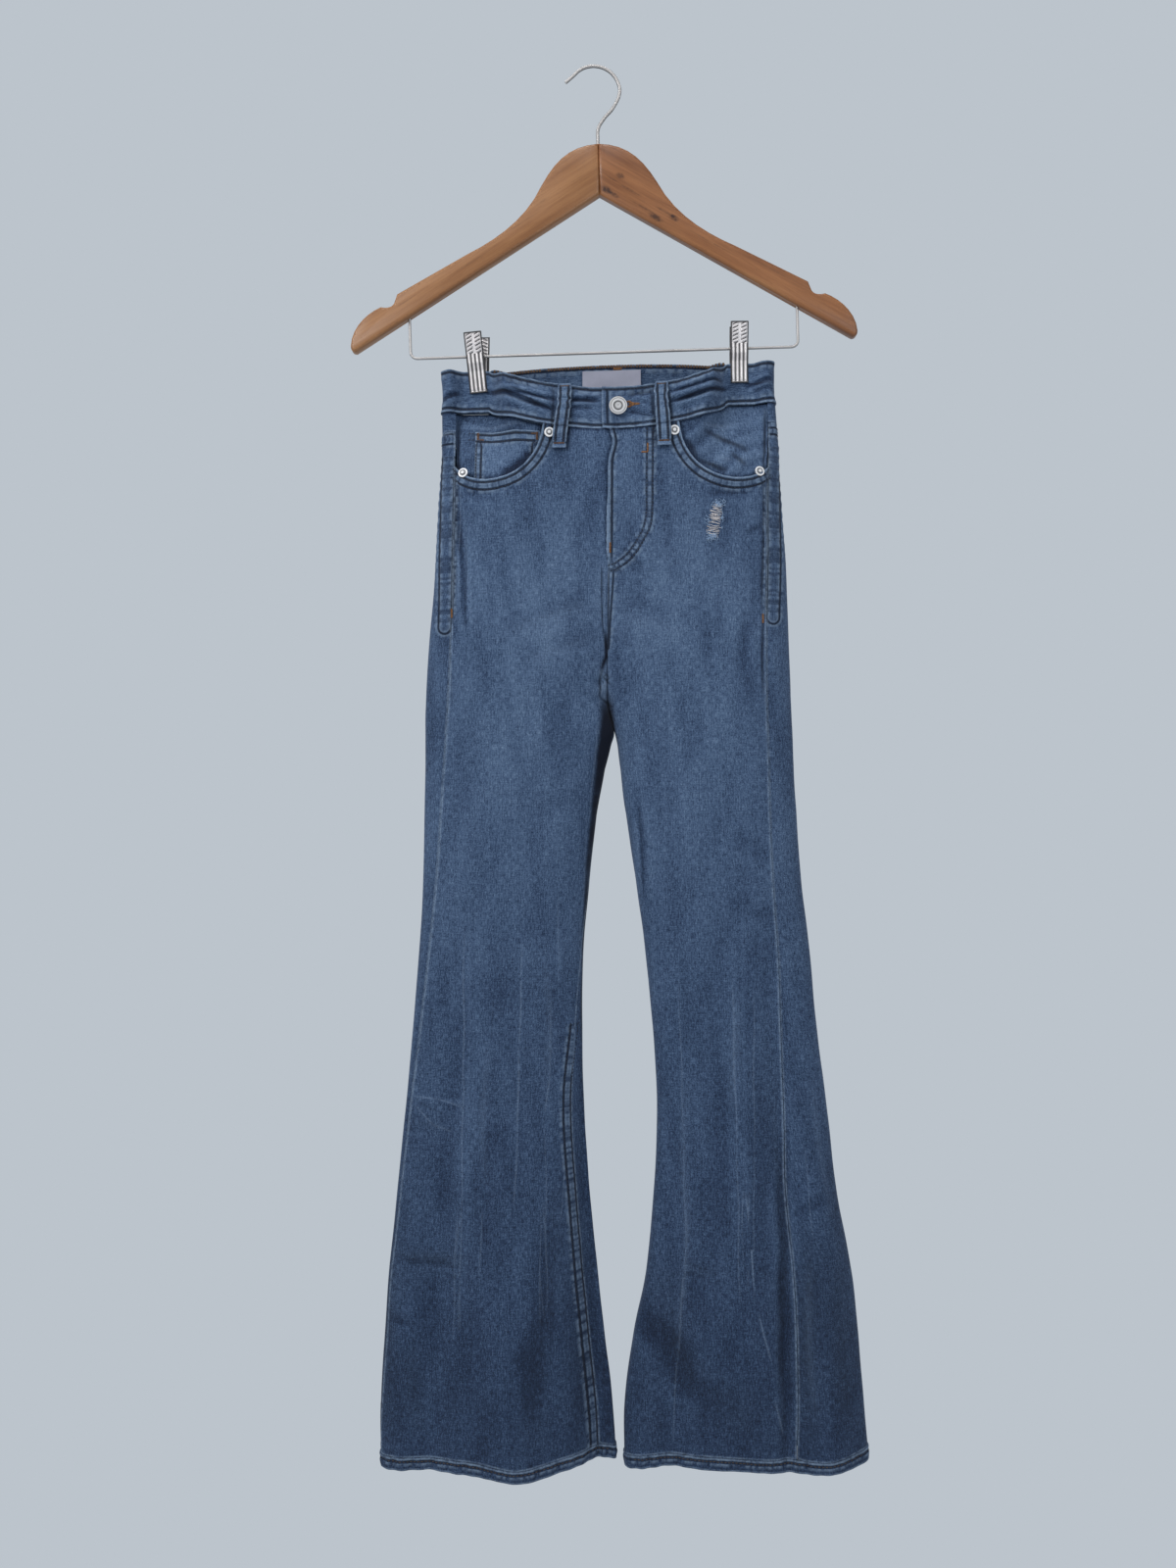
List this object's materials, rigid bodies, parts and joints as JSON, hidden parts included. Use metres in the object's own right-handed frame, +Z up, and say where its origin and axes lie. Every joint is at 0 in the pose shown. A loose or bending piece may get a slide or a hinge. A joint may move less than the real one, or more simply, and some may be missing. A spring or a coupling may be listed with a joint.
{
  "type": "flared jeans on a wooden clip hanger",
  "caption": "Flared five-pocket denim jeans hanging flat by the waistband from a wooden hanger with a wire hook, a wire bar and steel clips.",
  "frame": {"origin": "the inside crown of the hanger's wire hook, where a rail or a wall hook carries it", "axes": "+Z up along the hanging length, the front of the jeans faces -Y, the wearer's right is at -X"},
  "size_m": [0.4645, 0.0748, 1.2581],
  "materials": {
    "denim": "mid blue slub denim, faded at the thighs and knees",
    "denim_trim": "mid blue denim, doubled and topstitched",
    "zip_tape": "dark woven zip tape",
    "label": "pale satin woven label, bare",
    "button_metal": "satin silver",
    "rivet_metal": "satin silver",
    "beech": "clear varnished, light brown with darker grain",
    "wire": "bright plated wire",
    "clip_steel": "bright plated stamped steel"
  },
  "bodies": {
    "root": {"front_right": "denim", "front_left": "denim", "back_right": "denim", "back_left": "denim", "yoke_right": "denim", "yoke_left": "denim", "hem_right": "denim", "hem_left": "denim", "facing_right": "denim", "facing_left": "denim", "waistband": "denim_trim", "coin_pocket": "denim_trim", "back_pocket_right": "denim_trim", "back_pocket_left": "denim_trim", "loop_front_right": "denim_trim", "loop_front_left": "denim_trim", "loop_back_right": "denim_trim", "loop_back_left": "denim_trim", "loop_back_middle": "denim_trim", "fly_zip": "zip_tape", "inner_label": "label", "waist_button": "button_metal", "rivet_top_right": "rivet_metal", "rivet_top_left": "rivet_metal", "rivet_side_right": "rivet_metal", "rivet_side_left": "rivet_metal", "arm_right": "beech", "arm_left": "beech", "hanger_hook": "wire", "trouser_bar": "wire", "clip_right_front": "clip_steel", "clip_right_back": "clip_steel", "clip_right_spring": "clip_steel", "clip_left_front": "clip_steel", "clip_left_back": "clip_steel", "clip_left_spring": "clip_steel"}
  },
  "joints": []
}
